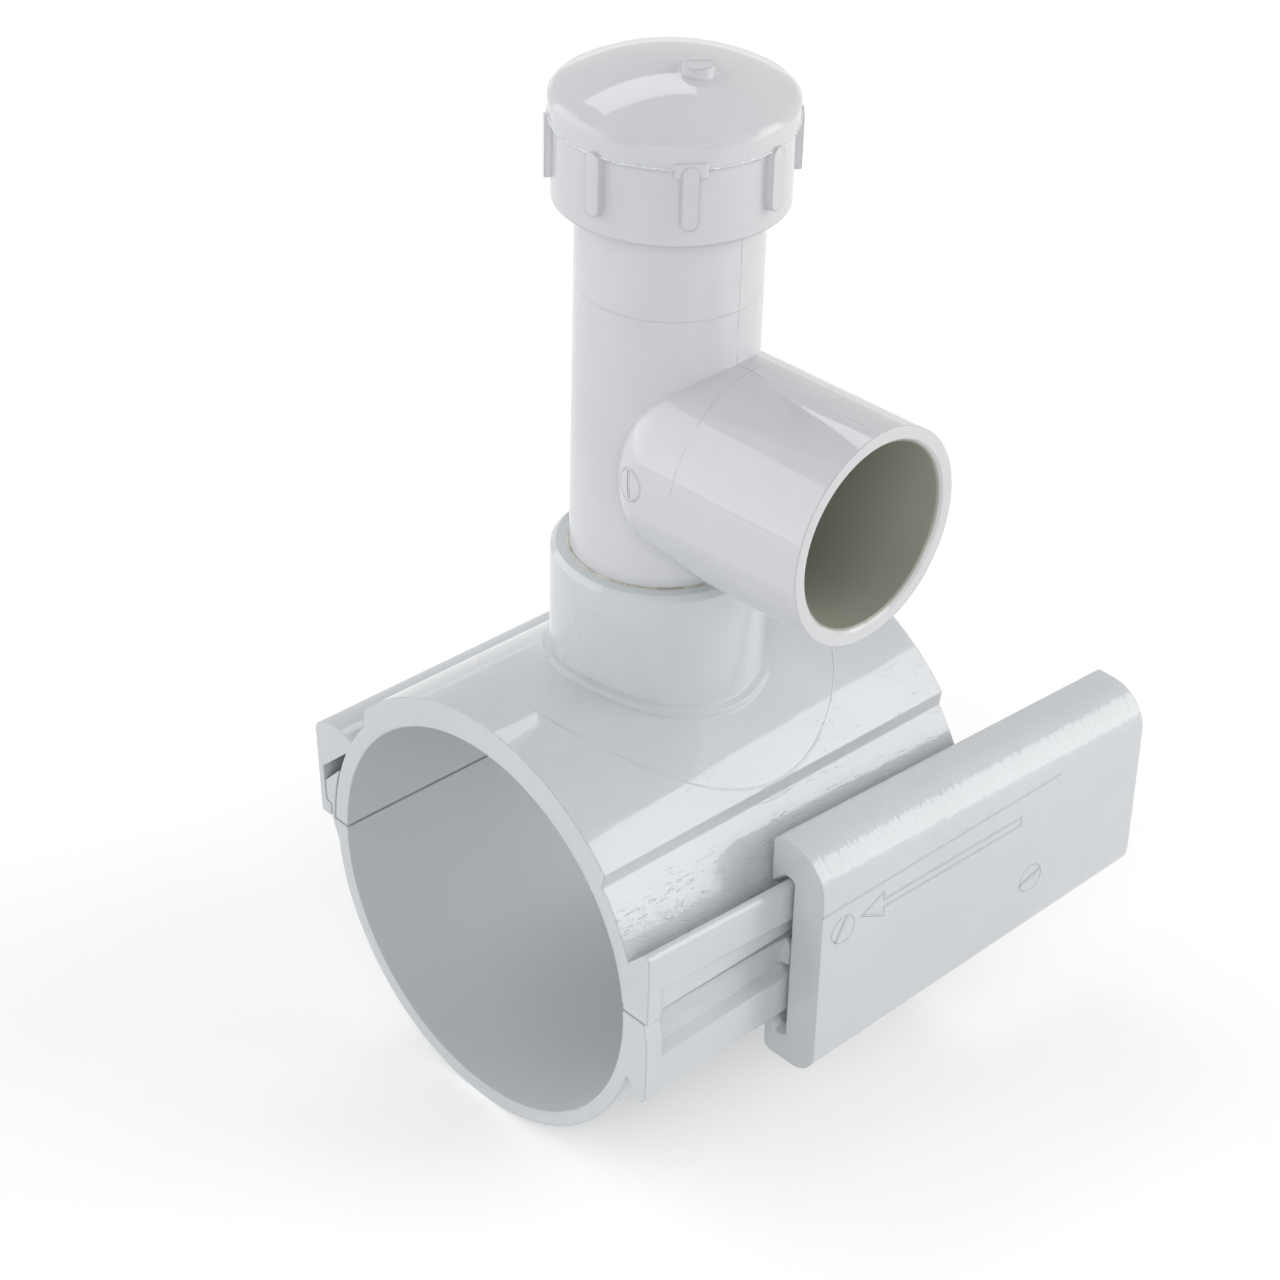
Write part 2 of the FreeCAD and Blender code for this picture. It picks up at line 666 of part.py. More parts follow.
def wedge_inner(body, name, out, upper_shift, lower_shift, flare="0"):
    """Section of the wedge's channel, which follows both rails with the wedge's play."""
    top = "(crest_height + wedge_gap - %s + %s)" % (upper_shift, flare)
    bottom = "(%s - keel_depth - wedge_gap - %s)" % (lower_shift, flare)
    web = "(%s + %s / 2)" % (WEDGE_INNER, flare)
    lip_end = "(wedge_lip_reach - fuse_depth)"
    corners = [
        ("-" + lip_end, "%s + (%s - %s) * %s" % (bottom, KEEL_START, lip_end, KEEL_FLANK)),
        ("-" + lip_end, "%s - (%s - %s) * tan(lip_slope)" % (top, CREST_START, lip_end)),
        ("-" + CREST_START, top),
        ("-%s + rail_round" % web, top),
        ("-" + web, top + " - rail_round"),
        ("-" + web, bottom + " + keel_round"),
        ("-%s + keel_round" % web, bottom),
        ("-" + KEEL_START, bottom),
    ]
    arcs = {3: ("rail_round", "left"), 5: ("keel_round", "left")}
    return outline(body, name, "YZ_Plane", corners, arcs, out=out)


def make_wedge():
    body = new_body("wedge_lock")
    loft(
        body,
        wedge_outer(body, "wedge_near", "-" + HALF, "0", "0", "0"),
        wedge_outer(
            body, "wedge_far", "wedge_length - " + HALF,
            "wedge_length * " + UPPER_FALL, "wedge_length * " + LOWER_RISE, "low_lip_recede",
        ),
    )
    loft(
        body,
        wedge_inner(
            body, "channel_near", "-%s - fuse_depth" % HALF,
            "(-fuse_depth) * " + UPPER_FALL, "(-fuse_depth) * " + LOWER_RISE,
        ),
        wedge_inner(
            body, "channel_far", "wedge_length + fuse_depth - " + HALF,
            "(wedge_length + fuse_depth) * " + UPPER_FALL,
            "(wedge_length + fuse_depth) * " + LOWER_RISE,
        ),
        remove=True,
    )
    loft(
        body,
        wedge_inner(body, "mouth_rim", "-" + HALF, "0", "0", "mouth_flare"),
        wedge_inner(
            body, "mouth_root", "mouth_depth - " + HALF,
            "mouth_depth * " + UPPER_FALL, "mouth_depth * " + LOWER_RISE,
        ),
        remove=True,
    )
    return tie(
        body, Placement__Base__x="wedge_short",
        Placement__Base__z="-wedge_short * " + UPPER_FALL,
    )


# Tower

def make_tower():
    body = new_body("tower")
    riser = outline(
        body, "riser", "XZ_Plane",
        [
            ("0", "collar_seat"),
            ("riser_radius", "collar_seat"),
            ("riser_radius", "neck_foot"),
            ("neck_radius", "neck_foot"),
            ("neck_radius", "neck_top"),
            ("0", "neck_top"),
        ],
    )
    turned(body, riser, "V_Axis")
    hub = outline(
        body, "outlet", "YZ_Plane",
        [
            ("0", "0"),
            ("0", "outlet_radius - outlet_round"),
            ("outlet_round - outlet_back", "outlet_radius - outlet_round"),
            ("-outlet_back", "outlet_radius"),
            ("-outlet_reach", "outlet_radius"),
            ("-outlet_reach", "0"),
        ],
        {2: ("outlet_round", "left")},
        up="outlet_height",
    )
    turned(body, hub, "H_Axis")
    cut_through(body, disc(body, "passage", "XY_Plane", "tap_radius"))
    socket_end = "(socket_depth - outlet_reach)"
    socket = outline(
        body, "outlet_socket", "YZ_Plane",
        [
            ("0", "0"),
            ("0", "outlet_passage"),
            (socket_end, "outlet_passage"),
            (socket_end, "socket_radius"),
            ("socket_lead - outlet_reach", "socket_radius"),
            ("-outlet_reach", "socket_radius + socket_lead"),
            ("-outlet_reach - fuse_depth", "socket_radius + socket_lead"),
            ("-outlet_reach - fuse_depth", "0"),
        ],
        up="outlet_height",
    )
    turned(body, socket, "H_Axis", remove=True)
    body.Placement.Rotation = FreeCAD.Rotation(FreeCAD.Vector(0, 0, 1), value("tower_turn"))
    return body


# Cap and seals

def make_cap():
    body = new_body("cap")
    dome = "((rim_radius - rim_edge)^2 + dome_rise^2) / (2 * dome_rise)"
    shape = outline(
        body, "cap_shape", "XZ_Plane",
        [
            ("0", "cap_foot"),
            ("skirt_radius", "cap_foot"),
            ("skirt_radius", "rim_foot"),
            ("rim_radius", "rim_foot + (rim_radius - skirt_radius)"),
            ("rim_radius", "rim_top - rim_edge"),
            ("rim_radius - rim_edge", "rim_top"),
            ("0", "rim_top + dome_rise"),
        ],
        {5: (dome, "left")},
    )
    turned(body, shape, "V_Axis")
    hollow = outline(
        body, "cap_hollow", "XZ_Plane",
        [
            ("0", "cap_foot - fuse_depth"),
            (CAP_BORE, "cap_foot - fuse_depth"),
            (CAP_BORE, "neck_top + seal_thick + 2 * seal_gap"),
            ("0", "neck_top + seal_thick + 2 * seal_gap"),
        ],
    )
    turned(body, hollow, "V_Axis", remove=True)
    rib_half = "(rib_width / 2)"
    rib = outline(
        body, "rib", "XZ_Plane",
        [
            ("-" + rib_half, "rib_foot + " + rib_half),
            ("0", "rib_foot"),
            (rib_half, "rib_foot + " + rib_half),
            (rib_half, "rib_top - " + rib_half),
            ("0", "rib_top"),
            ("-" + rib_half, "rib_top - " + rib_half),
        ],
        {0: (rib_half, "left"), 1: (rib_half, "left"), 3: (rib_half, "left"), 4: (rib_half, "left")},
        out="skirt_radius - fuse_depth",
    )
    rib_pad = pad(body, rib, "fuse_depth + rib_rise")
    ribs = body.newObject("PartDesign::PolarPattern", "ribs")
    ribs.Originals = [rib_pad]
    ribs.Axis = (origin_item(body, "Z_Axis"), [""])
    tie(ribs, Occurrences="rib_count")
    body.Tip = ribs
    body.Placement.Rotation = FreeCAD.Rotation(FreeCAD.Vector(0, 0, 1), value("cap_turn"))
    boss = cylinder("dome_boss", "boss_radius", "dome_rise + boss_rise", start="rim_top")
    tie(boss, Placement__Base__y="-boss_place")
    joined = doc.addObject("Part::Fuse", "cap")
    joined.Base = body
    joined.Tool = boss
    return joined


def make_cap_seal():
    return boolean(
        "Cut", "cap_seal",
        cylinder("cap_seal_out", CAP_BORE + " - 3 * seal_gap", "seal_thick", start="neck_top + seal_gap"),
        cylinder("cap_seal_in", "tap_radius", "seal_thick", start="neck_top + seal_gap"),
    )


def make_saddle_seal():
    return curved_washer(
        "saddle_seal", "gasket_inner", "gasket_inner + gasket_width",
        BORE, "%s + gasket_depth" % BORE,
    )


# Build, check and write

pieces = {
    "upper_saddle": make_upper(),
    "lower_saddle": make_lower(),
    "wedge_lock": make_wedge(),
    "tower": make_tower(),
    "cap": make_cap(),
    "cap_seal": make_cap_seal(),
    "saddle_seal": make_saddle_seal(),
}
doc.recompute()

for item in doc.Objects:
    faults = {"Invalid", "Error"}.intersection(item.State)
    if faults:
        raise RuntimeError("%s: %s" % (item.Name, ", ".join(sorted(faults))))

os.makedirs("parts", exist_ok=True)
for node, piece in pieces.items():
    piece.Label = node
    shape = piece.Shape
    if shape.isNull() or not shape.isValid() or len(shape.Solids) != 1:
        raise RuntimeError("%s is not one valid solid" % node)
    box = shape.optimalBoundingBox()
    print("%-14s %9.1f mm3  x %7.2f %7.2f  y %7.2f %7.2f  z %7.2f %7.2f" % (
        node, shape.Volume, box.XMin, box.XMax, box.YMin, box.YMax, box.ZMin, box.ZMax))
    shape.exportStep("parts/%s.step" % node)
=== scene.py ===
import math

import bmesh
import bpy
from bpy.props import FloatProperty, FloatVectorProperty, IntProperty, PointerProperty
from mathutils import Matrix, Vector


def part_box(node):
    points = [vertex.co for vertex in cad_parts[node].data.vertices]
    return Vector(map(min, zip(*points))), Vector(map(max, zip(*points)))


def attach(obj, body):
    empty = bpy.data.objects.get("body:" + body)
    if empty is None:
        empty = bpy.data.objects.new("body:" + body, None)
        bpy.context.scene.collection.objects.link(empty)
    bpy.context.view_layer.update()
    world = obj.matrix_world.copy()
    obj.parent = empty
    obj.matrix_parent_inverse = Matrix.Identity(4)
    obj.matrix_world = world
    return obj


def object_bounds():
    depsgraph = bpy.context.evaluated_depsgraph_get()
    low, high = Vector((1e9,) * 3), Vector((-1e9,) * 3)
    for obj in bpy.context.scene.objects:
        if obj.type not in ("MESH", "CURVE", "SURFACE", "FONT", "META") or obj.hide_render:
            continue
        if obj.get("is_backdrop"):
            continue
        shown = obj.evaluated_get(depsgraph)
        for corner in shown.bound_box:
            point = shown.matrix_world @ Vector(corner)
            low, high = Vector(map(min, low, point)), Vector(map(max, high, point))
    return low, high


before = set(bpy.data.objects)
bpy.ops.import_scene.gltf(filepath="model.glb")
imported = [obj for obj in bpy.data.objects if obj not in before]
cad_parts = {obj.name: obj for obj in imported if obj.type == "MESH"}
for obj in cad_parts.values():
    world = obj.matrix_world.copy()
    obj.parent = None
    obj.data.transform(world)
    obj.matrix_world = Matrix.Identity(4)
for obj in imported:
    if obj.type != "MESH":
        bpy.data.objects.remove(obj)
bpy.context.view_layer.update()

bl_info = {
    "name": "Tapping saddle",
    "version": (1, 0, 0),
    "blender": (4, 5, 0),
    "location": "3D View > Sidebar > Saddle",
    "description": "Moulded finish, threads, flash and stage of a plastic tapping saddle",
    "category": "Object",
}

MM = 0.001  # one millimetre in the scene's metres

# Half shells: places in millimetres on the frame's axes
BORE_MASK_RADIUS = 30.6  # just outside the wall of the pipe's bore
CROWN_LEVEL = 8.0  # the marks of the upper half lie above it
BAND_OUTER_EDGE = (-33.5, -31.6)  # the worn band beside the step fades in between these
BAND_INNER_EDGE = (-27.9, -26.7)  # and out between these

# Wedge: places in millimetres, as X and Z on its outer face
WEDGE_FACE = -40.6  # just inside the outer face, along Y
ARROW = [(1.6, 7.6), (6.1, 9.7), (6.1, 8.25), (35.2, 8.45), (35.2, 7.0), (6.2, 6.9), (6.2, 5.4)]
BORDER = [(-6.4, 11.35), (-1.2, 11.4), (43.0, 12.4), (43.3, -8.6)]
EJECTOR_RADIUS = 2.3
EJECTORS = {(-2.3, 7.05): [(-3.5, 5.6), (-1.5, 9.2)],  # each centre with its slot's ends
            (38.5, -4.6): [(36.5, -4.9), (40.4, -3.7)]}
ROUNDING_SIDE = -33.5  # the polished rounding lies beyond it, along Y
ROUNDING_START = (12.0, 13.2)

# Tower: places in millimetres, across the outlet, along it and up
RISER_MASK_RADIUS = 11.3  # between the riser's passage and its outer wall
OUTLET_MASK_MARGIN = 0.25
OUTLET_MASK_START = -9.0
OUTLET_MARKS_END = -38.2  # the lines stop short of the outlet's end face
PIN_SIDE = -8.0
PIN_CENTRE = (-8.2, 70.2)
PIN_RADIUS = 2.2
PIN_SLOT = [(-7.9, 71.9), (-8.5, 68.6)]

# Cap: places in millimetres
RIM_LEVEL = 116.6
RIM_FADE = (0.3, 1.3)
BOSS_LEVEL = 124.0  # the slot shows on the boss, above it
BOSS_SLOT = [(-0.7, -3.3), (1.3, -5.0)]
BOSS_SLOT_WIDTH = 0.65
BOSS_SLOT_DEPTH = 0.35

# Gate stub, thread and bead: lengths in metres
GATE_ROOT = 0.8 * MM
GATE_STAND = 0.42 * MM
GATE_DRAFT = 0.1 * MM
GATE_DROP = 1.5 * MM
GATE_RISE = 0.75 * MM
GATE_ROUNDING = 0.22 * MM
GATE_STEPS = 6
THREAD_START = 0.6 * MM  # from the cap's foot to the first turn
THREAD_RESOLUTION = 72
THREAD_FADE = 14.0  # each end fades over one part in so many
BEAD_RESOLUTION = 420
BEAD_SIDES = 8

# Stage: lengths in metres, and each lamp's direction, distance, sides, brightness and colour
WHITE = (1.0, 1.0, 1.0)
WARM = (1.0, 0.965, 0.945)
LAMPS = {
    "right_box": ((0.689, -0.620, 0.375), 1.00, (0.73, 0.80), 3.08, WARM),
    "left_box": ((-0.562, 0.720, 0.407), 1.05, (1.40, 0.95), 1.45, WHITE),
    "front_box": ((-0.66, -0.62, 0.42), 1.10, (1.00, 0.80), 1.6, WHITE),
    "top_box": ((0.289, 0.544, 0.788), 1.00, (0.54, 0.28), 2.1, WHITE),
}
LAMP_AIM = (0.01, 0.0, 0.04)
FLOOR_GREY = (0.86, 0.86, 0.86)
GLOW_GREY = (0.26, 0.26, 0.26)  # the floor's glow under the object, which grows to white
GLOW_FADE = (0.2, 2.2)  # over these distances from it
SENSOR_WIDTH = 36.0  # millimetres
CAMERA_CLIP = (0.01, 50.0)


# Settings


class PlasticSettings(bpy.types.PropertyGroup):
    """Colours and surface of the moulded plastic"""

    saddle_colour: FloatVectorProperty(
        name="Saddle colour", description="Grey of the two half shells and the wedge",
        subtype="COLOR", size=3, min=0.0, max=1.0, default=(0.590, 0.622, 0.645))
    tower_colour: FloatVectorProperty(
        name="Tower colour", description="Warmer grey of the tower and its cap",
        subtype="COLOR", size=3, min=0.0, max=1.0, default=(0.619, 0.631, 0.655))
    # The bore colour is painted shade inside the outlet and the riser, with a painted olive cast
    # of light bounced about in there, in place of the plastic's own grey.
    bore_shade_colour: FloatVectorProperty(
        name="Socket colour", description="Unpolished wall inside the outlet and the riser",
        subtype="COLOR", size=3, min=0.0, max=1.0, default=(0.375, 0.385, 0.325))
    rubber_colour: FloatVectorProperty(
        name="Rubber colour", description="Dark rubber of the two seals",
        subtype="COLOR", size=3, min=0.0, max=1.0, default=(0.022, 0.022, 0.024))
    cement_colour: FloatVectorProperty(
        name="Cement colour", description="Dried solvent cement round the riser's foot",
        subtype="COLOR", size=3, min=0.0, max=1.0, default=(0.345, 0.330, 0.285))
    gloss_roughness: FloatProperty(
        name="Roughness", description="Mean roughness of the polished outside",
        min=0.02, max=1.0, default=0.048)
    edge_radius: FloatProperty(
        name="Edge rounding", description="Radius of the softened moulded edges",
        subtype="DISTANCE", unit="LENGTH", min=0.0, default=0.00042)
    ripple_height: FloatProperty(
        name="Ripple height", description="Height of the mould's slow waves, in millimetres",
        min=0.0, max=0.1, default=0.015)
    ripple_length: FloatProperty(
        name="Ripple length", description="Length of the mould's slow waves",
        subtype="DISTANCE", unit="LENGTH", min=0.0002, default=0.0034)


class MarkSettings(bpy.types.PropertyGroup):
    """Fine mould marks, which are no deeper than a scratch"""

    line_width: FloatProperty(
        name="Line width", description="Half the width of a witness line, in millimetres",
        min=0.02, max=1.0, default=0.16)
    line_height: FloatProperty(
        name="Line height", description="Height of a witness line, in millimetres",
        min=0.0, max=0.5, default=0.075)
    plate_radius: FloatProperty(
        name="Insert radius", description="Radius of the round mould insert about the collar",
        subtype="DISTANCE", unit="LENGTH", default=0.0257)
    riser_line: FloatProperty(
        name="Riser line", description="Height of the witness line round the riser",
        subtype="DISTANCE", unit="LENGTH", default=0.0928)
    hub_line: FloatProperty(
        name="Outlet line", description="Place of the witness line round the outlet",
        subtype="DISTANCE", unit="LENGTH", default=0.0157)
    tower_turn: FloatProperty(
        name="Tower turn", description="Angle by which the tower was cemented off square",
        subtype="ANGLE", unit="ROTATION", default=math.radians(3.3))
    outlet_height: FloatProperty(
        name="Outlet height", description="Height of the outlet's axis",
        subtype="DISTANCE", unit="LENGTH", default=0.0688)
    socket_radius: FloatProperty(
        name="Socket radius", description="Bore of the outlet socket",
        subtype="DISTANCE", unit="LENGTH", default=0.0134)


class ThreadSettings(bpy.types.PropertyGroup):
    """Screw thread between the neck of the tower and its cap"""

    pitch: FloatProperty(
        name="Pitch", description="Rise of one turn",
        subtype="DISTANCE", unit="LENGTH", default=0.001814)
    neck_radius: FloatProperty(
        name="Neck radius", description="Plain core of the neck",
        subtype="DISTANCE", unit="LENGTH", default=0.0121)
    bore_radius: FloatProperty(
        name="Cap bore", description="Plain bore of the cap",
        subtype="DISTANCE", unit="LENGTH", default=0.01315)
    depth: FloatProperty(
        name="Depth", description="Height of the thread's ridge",
        subtype="DISTANCE", unit="LENGTH", default=0.00072)
    foot_width: FloatProperty(
        name="Foot width", description="Width of the ridge where it leaves the wall",
        subtype="DISTANCE", unit="LENGTH", default=0.00095)
    crest_width: FloatProperty(
        name="Crest width", description="Width of the ridge at its crest",
        subtype="DISTANCE", unit="LENGTH", default=0.0003)
    neck_turns: FloatProperty(
        name="Turns on the neck", description="Number of turns of the outer thread", default=5.6)
    cap_turns: FloatProperty(
        name="Turns in the cap", description="Number of turns of the inner thread", default=4.4)


class TrimSettings(bpy.types.PropertyGroup):
    """Flash, gate and cement bead"""

    flash_radius: FloatProperty(
        name="Flash radius", description="Radius of the parting line under the cap's rim",
        subtype="DISTANCE", unit="LENGTH", default=0.01658)
    flash_height: FloatProperty(
        name="Flash height", description="Height of that parting line",
        subtype="DISTANCE", unit="LENGTH", default=0.1168)
    flash_thickness: FloatProperty(
        name="Flash thickness", description="Mean thickness of the flash",
        subtype="DISTANCE", unit="LENGTH", default=0.00016)
    gate_angle: FloatProperty(
        name="Gate angle", description="Place of the cut-off gate round the cap",
        subtype="ANGLE", unit="ROTATION", default=math.radians(-125.6))
    gate_width: FloatProperty(
        name="Gate width", description="Width of the cut-off gate",
        subtype="DISTANCE", unit="LENGTH", default=0.0044)
    bead_radius: FloatProperty(
        name="Bead radius", description="Radius of the cement bead about the riser",
        subtype="DISTANCE", unit="LENGTH", default=0.01302)
    bead_thickness: FloatProperty(
        name="Bead thickness", description="Mean thickness of the cement bead",
        subtype="DISTANCE", unit="LENGTH", default=0.00019)
    seed: IntProperty(name="Seed", description="Seed of the uneven edges", default=7)


class StageSettings(bpy.types.PropertyGroup):
    """Camera, lamps and floor"""

    camera_place: FloatVectorProperty(
        name="Camera place", description="Where the camera stands",
        subtype="XYZ", unit="LENGTH", size=3, default=(-0.2891, -0.2978, 0.3125))
    azimuth: FloatProperty(
        name="Azimuth", description="Turn of the camera about the upright axis",
        subtype="ANGLE", unit="ROTATION", default=math.radians(-43.816))
    elevation: FloatProperty(
        name="Elevation", description="How far the camera looks below the horizon",
        subtype="ANGLE", unit="ROTATION", default=math.radians(-33.877))
    roll: FloatProperty(
        name="Roll", description="Turn of the camera about its own line of sight",
        subtype="ANGLE", unit="ROTATION", default=math.radians(1.68))
    lens: FloatProperty(
        name="Lens", description="Focal length on a 36 mm sensor, in millimetres", default=97.82)
    surround: FloatProperty(
        name="Surround", description="Brightness of the studio round the object", default=0.38)
    floor_size: FloatProperty(
        name="Floor size", description="Side of the floor",
        subtype="DISTANCE", unit="LENGTH", default=40.0)


# Node trees


class Wire:
    """One socket of a node tree, so that a pattern can be written as a sum."""

    def __init__(self, graph, socket):
        self.graph = graph
        self.socket = socket

    def math(self, operation, *others):
        inputs = dict(enumerate((self, *others)))
        return self.graph.node("ShaderNodeMath", {"operation": operation}, inputs)

    def __add__(self, other):
        return self.math("ADD", other)

    __radd__ = __add__

    def __mul__(self, other):
        return self.math("MULTIPLY", other)

    __rmul__ = __mul__

    def __sub__(self, other):
        return self.math("SUBTRACT", other)

    def __rsub__(self, other):
        return self.graph.node(
            "ShaderNodeMath", {"operation": "SUBTRACT"}, {0: other, 1: self})

    def __truediv__(self, other):
        return self.math("DIVIDE", other)

    def __abs__(self):
        return self.math("ABSOLUTE")

    def root(self):
        return self.math("SQRT")

    def below(self, limit):
        return self.math("LESS_THAN", limit)

    def above(self, limit):
        return self.math("GREATER_THAN", limit)

    def least(self, other):
        return self.math("MINIMUM", other)

    def most(self, other):
        return self.math("MAXIMUM", other)

    def held(self, low=0.0, high=1.0):
        return self.most(low).least(high)

    def eased(self, low, high):
        """0 below low, 1 above high and smooth between them."""
        inputs = {"Value": self, "From Min": low, "From Max": high}
        return self.graph.node("ShaderNodeMapRange", {"interpolation_type": "SMOOTHSTEP"}, inputs)


class Graph:
    """A node tree under construction."""

    def __init__(self, tree):
        self.tree = tree

    def node(self, kind, settings, inputs, output=0):
        """Adds a node and gives one of its outputs, if it has any."""
        made = self.tree.nodes.new(kind)
        for name, value in settings.items():
            setattr(made, name, value)
        for name, value in inputs.items():
            socket = made.inputs[name]
            if isinstance(value, Wire):
                self.tree.links.new(value.socket, socket)
            else:
                socket.default_value = value
        return Wire(self, made.outputs[output]) if made.outputs else None

    def noise(self, place, scale, detail=2.0, roughness=0.5):
        inputs = {"Vector": place, "Scale": scale, "Detail": detail, "Roughness": roughness}
        return self.node("ShaderNodeTexNoise", {}, inputs)

    def stretched(self, place, stretch):
        return self.node("ShaderNodeMapping", {}, {"Vector": place, "Scale": stretch})

    def blend(self, factor, first, second):
        return self.node(
            "ShaderNodeMix", {"data_type": "RGBA"},
            {"Factor": factor, 6: first, 7: second}, 2)


def length_of(across, up):
    """Length of a flat vector, given by its two parts."""
    return (across * across + up * up).root()


def reach(across, up, start, end):
    """Distance of a point from the straight line between start and end, in a plane."""
    run = end[0] - start[0]
    rise = end[1] - start[1]
    span = run * run + rise * rise
    along = (((across - start[0]) * run + (up - start[1]) * rise) / span).held()
    return length_of(across - start[0] - along * run, up - start[1] - along * rise)


def outline_of(across, up, corners):
    """Distance from a closed outline."""
    nearest = None
    for start, end in zip(corners, corners[1:] + corners[:1]):
        side = reach(across, up, start, end)
        nearest = side if nearest is None else nearest.least(side)
    return nearest


def circle_of(across, up, centre, radius):
    """Distance from a circle."""
    return abs(length_of(across - centre[0], up - centre[1]) - radius)


def ridge(distance, width, height):
    """A low rounded line, as high as height where the distance is nothing."""
    return (1.0 - distance.eased(width * 0.25, width)) * height


def worn(finish, line):
    """A line of the mould, which is strong in places and nearly gone in others."""
    return line * finish.graph.noise(finish.place, 210.0, 3.0, 0.6).eased(0.22, 0.72)


def opaque(colour, share=1.0):
    return (colour[0] * share, colour[1] * share, colour[2] * share, 1.0)


class Finish:
    """A material whose relief is added up in millimetres before it becomes a bump."""

    def __init__(self, name):
        self.material = bpy.data.materials.new(name)
        self.material.use_nodes = True
        self.material.node_tree.nodes.clear()
        self.graph = Graph(self.material.node_tree)
        self.place = self.graph.node("ShaderNodeTexCoord", {}, {}, "Object")
        self.x, self.y, self.z = map(self.in_millimetres, "XYZ")
        self.tint = None
        self.roughness = None
        self.relief = None

    def in_millimetres(self, axis):
        split = self.graph.node("ShaderNodeSeparateXYZ", {}, {"Vector": self.place}, axis)
        return split * (1.0 / MM)

    def raise_by(self, height):
        self.relief = height if self.relief is None else self.relief + height

    def close(self, colour, roughness, edge_radius, index=1.54):
        """Ends the material, with its relief as a bump on softened edges."""
        graph = self.graph
        rounded = graph.node("ShaderNodeBevel", {"samples": 6}, {"Radius": edge_radius})
        bump = graph.node(
            "ShaderNodeBump", {},
            {"Strength": 1.0, "Distance": MM, "Height": self.relief, "Normal": rounded})
        surface = graph.node(
            "ShaderNodeBsdfPrincipled", {},
            {"Base Color": colour, "Roughness": roughness, "Normal": bump, "IOR": index})
        graph.node("ShaderNodeOutputMaterial", {}, {"Surface": surface})
        return self.material


def mould(finish, colour, settings, lively):
    """The tint, gloss and relief that every moulded piece shares, with lively its strength."""
    graph = finish.graph
    drift = graph.noise(finish.place, 38.0, 3.0, 0.55)
    streaks = graph.noise(graph.stretched(finish.place, (260.0, 260.0, 60.0)), 1.0, 2.0)
    specks = graph.noise(finish.place, 1900.0, 1.0).eased(0.78, 0.86)
    tint = graph.blend(drift.eased(0.3, 0.7), opaque(colour, 0.975), opaque(colour, 1.03))
    tint = graph.blend(streaks.eased(0.45, 0.8) * 0.25, tint, opaque(colour, 0.95))
    finish.tint = graph.blend(specks * 0.35, tint, opaque(colour, 0.62))
    wear = graph.noise(finish.place, 120.0, 4.0, 0.6)
    finish.roughness = settings.gloss_roughness + (wear - 0.5) * 0.07
    wave = graph.noise(finish.place, 1.0 / settings.ripple_length, 1.5, 0.45)
    slow = graph.noise(finish.place, 0.22 / settings.ripple_length, 1.0, 0.5)
    finish.raise_by((wave - 0.5) * (settings.ripple_height * lively))
    finish.raise_by((slow - 0.5) * (settings.ripple_height * 5.0 * lively))
    grain = graph.noise(finish.place, 5200.0, 2.0, 0.6)
    finish.raise_by((grain - 0.5) * 0.0011)
    dents = graph.noise(graph.stretched(finish.place, (900.0, 260.0, 260.0)), 1.0, 3.0, 0.7)
    finish.raise_by(dents.eased(0.70, 0.78) * (-0.006 * lively))


# Pieces


def cover(node_name, material):
    """Gives a frame node its material."""
    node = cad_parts[node_name]
    node.data.materials.clear()
    node.data.materials.append(material)


def grown(name, build, inputs, material):
    """Runs a geometry tree once and keeps its result as a plain mesh piece."""
    tree = bpy.data.node_groups.new(name, "GeometryNodeTree")
    tree.interface.new_socket("Geometry", in_out="OUTPUT", socket_type="NodeSocketGeometry")
    for label in inputs:
        tree.interface.new_socket(label, in_out="INPUT", socket_type="NodeSocketFloat")
    graph = Graph(tree)
    entry = tree.nodes.new("NodeGroupInput")
    sizes = {label: Wire(graph, entry.outputs[label]) for label in inputs}
    shape = build(graph, sizes)
    whole = graph.node("GeometryNodeRealizeInstances", {}, {"Geometry": shape})
    smooth = graph.node("GeometryNodeSetShadeSmooth", {}, {"Geometry": whole})
    painted = graph.node(
        "GeometryNodeSetMaterial", {}, {"Geometry": smooth, "Material": material})
    leave = tree.nodes.new("NodeGroupOutput")
    tree.links.new(painted.socket, leave.inputs[0])
    seed_mesh = bpy.data.meshes.new(name + "_start")
    piece = bpy.data.objects.new(name, seed_mesh)
    bpy.context.scene.collection.objects.link(piece)
    modifier = piece.modifiers.new("Shape", "NODES")
    modifier.node_group = tree
    for item in tree.interface.items_tree:
        if item.in_out == "INPUT":
            modifier[item.identifier] = inputs[item.name]
    bpy.context.view_layer.update()
    depsgraph = bpy.context.evaluated_depsgraph_get()
    mesh = bpy.data.meshes.new_from_object(piece.evaluated_get(depsgraph), depsgraph=depsgraph)
    piece.modifiers.remove(modifier)
    piece.data = mesh
    mesh.name = name
    bpy.data.meshes.remove(seed_mesh)
    shell = bmesh.new()
    shell.from_mesh(mesh)
    bmesh.ops.remove_doubles(shell, verts=shell.verts, dist=1e-7)
    bmesh.ops.recalc_face_normals(shell, faces=shell.faces)
    shell.to_mesh(mesh)
    shell.free()
    if not mesh.polygons:
        raise RuntimeError(f"{name} came out empty")
    return piece


